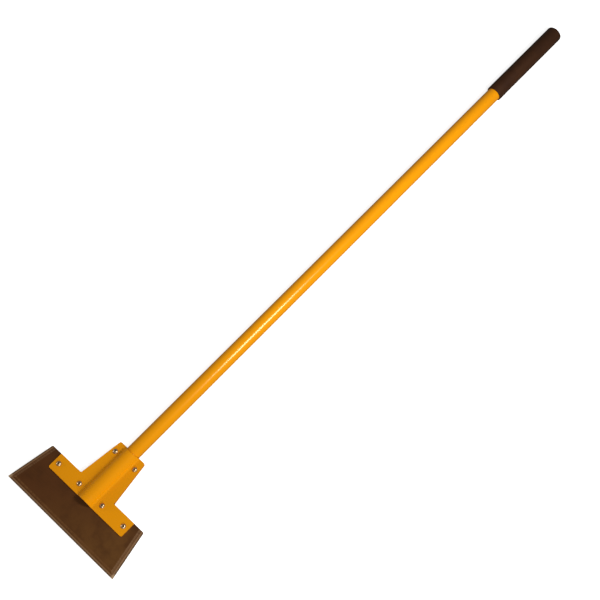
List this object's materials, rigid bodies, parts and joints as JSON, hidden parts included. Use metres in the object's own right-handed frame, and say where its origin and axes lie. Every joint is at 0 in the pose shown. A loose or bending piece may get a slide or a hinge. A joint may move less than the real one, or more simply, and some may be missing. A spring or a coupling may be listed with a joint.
{
  "type": "floor scraper",
  "caption": "Long-handled floor scraper: a wide bevelled blade bolted between two pressed T-shaped plates that clamp a straight tube handle with a closed sleeve grip.",
  "frame": {"origin": "middle of the cutting edge, in the middle plane of the blade, on the handle's centre line", "axes": "+Y up the handle from the cutting edge to the grip, +X to the right along the cutting edge, +Z out of the face that carries the screw heads; the tool lies on its back"},
  "size_m": [0.3044, 1.5915, 0.0374],
  "materials": {
    "blade_steel": "dark brown tempered spring steel with a satin, ground bevel",
    "head_paint": "glossy yellow-orange enamel",
    "tube_paint": "glossy yellow-orange enamel",
    "grip_sleeve": "matte dark brown-black dipped vinyl or rubber",
    "zinc_plate": "bright zinc plate"
  },
  "bodies": {
    "root": {"blade": "blade_steel", "front_plate": "head_paint", "rear_plate": "head_paint", "handle_tube": "tube_paint", "grip": "grip_sleeve", "screw_top_left": "zinc_plate", "screw_top_right": "zinc_plate", "screw_inner_left": "zinc_plate", "screw_inner_right": "zinc_plate", "screw_outer_left": "zinc_plate", "screw_outer_right": "zinc_plate", "lock_washer_top_left": "zinc_plate", "lock_washer_top_right": "zinc_plate", "lock_washer_inner_left": "zinc_plate", "lock_washer_inner_right": "zinc_plate", "lock_washer_outer_left": "zinc_plate", "lock_washer_outer_right": "zinc_plate", "nut_top_left": "zinc_plate", "nut_top_right": "zinc_plate", "nut_inner_left": "zinc_plate", "nut_inner_right": "zinc_plate", "nut_outer_left": "zinc_plate", "nut_outer_right": "zinc_plate"}
  },
  "joints": []
}
